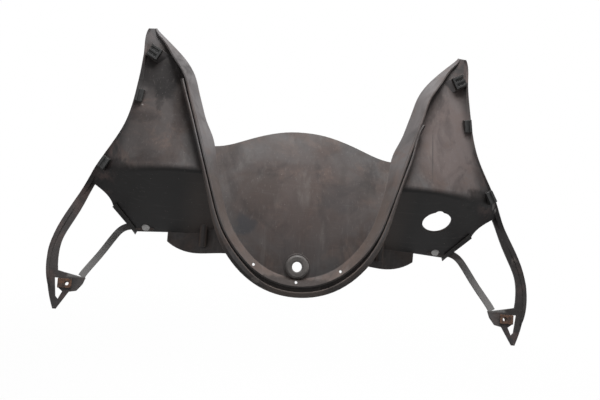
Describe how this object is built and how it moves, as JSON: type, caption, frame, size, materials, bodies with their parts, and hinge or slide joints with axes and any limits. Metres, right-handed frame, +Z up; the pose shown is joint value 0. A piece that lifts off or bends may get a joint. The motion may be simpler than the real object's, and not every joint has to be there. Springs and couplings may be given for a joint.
{
  "type": "motorcycle inner fairing",
  "caption": "Moulded motorcycle inner fairing: arched centre plate between two tall horns, screen groove, folded side pockets and open leg frames, with clips and clip nuts.",
  "frame": {"origin": "centre of the screw hole in the middle of the plate, on the plate's front skin", "axes": "X across the motorcycle, to the right of the front view; Y from the side the rider sees to the back of the panel; Z up, with the panel leaned back 15 degrees as it is fitted"},
  "size_m": [0.5028, 0.1615, 0.2841],
  "materials": {
    "fairing_body": "dusty black moulded plastic, faded grey on the faces that look up",
    "centre_grommet": "dull black rubber",
    "bracket_nut": "spring steel with brown rust",
    "horn_clip": "black plastic with greyed corners",
    "edge_clip": "black plastic"
  },
  "bodies": {
    "root": {"fairing_body": "fairing_body", "centre_grommet": "centre_grommet", "left_bracket_nut": "bracket_nut", "right_bracket_nut": "bracket_nut", "left_horn_clip": "horn_clip", "right_horn_clip": "horn_clip", "left_edge_clip": "edge_clip", "right_edge_clip": "edge_clip", "left_low_clip": "edge_clip", "right_low_clip": "edge_clip"}
  },
  "joints": []
}
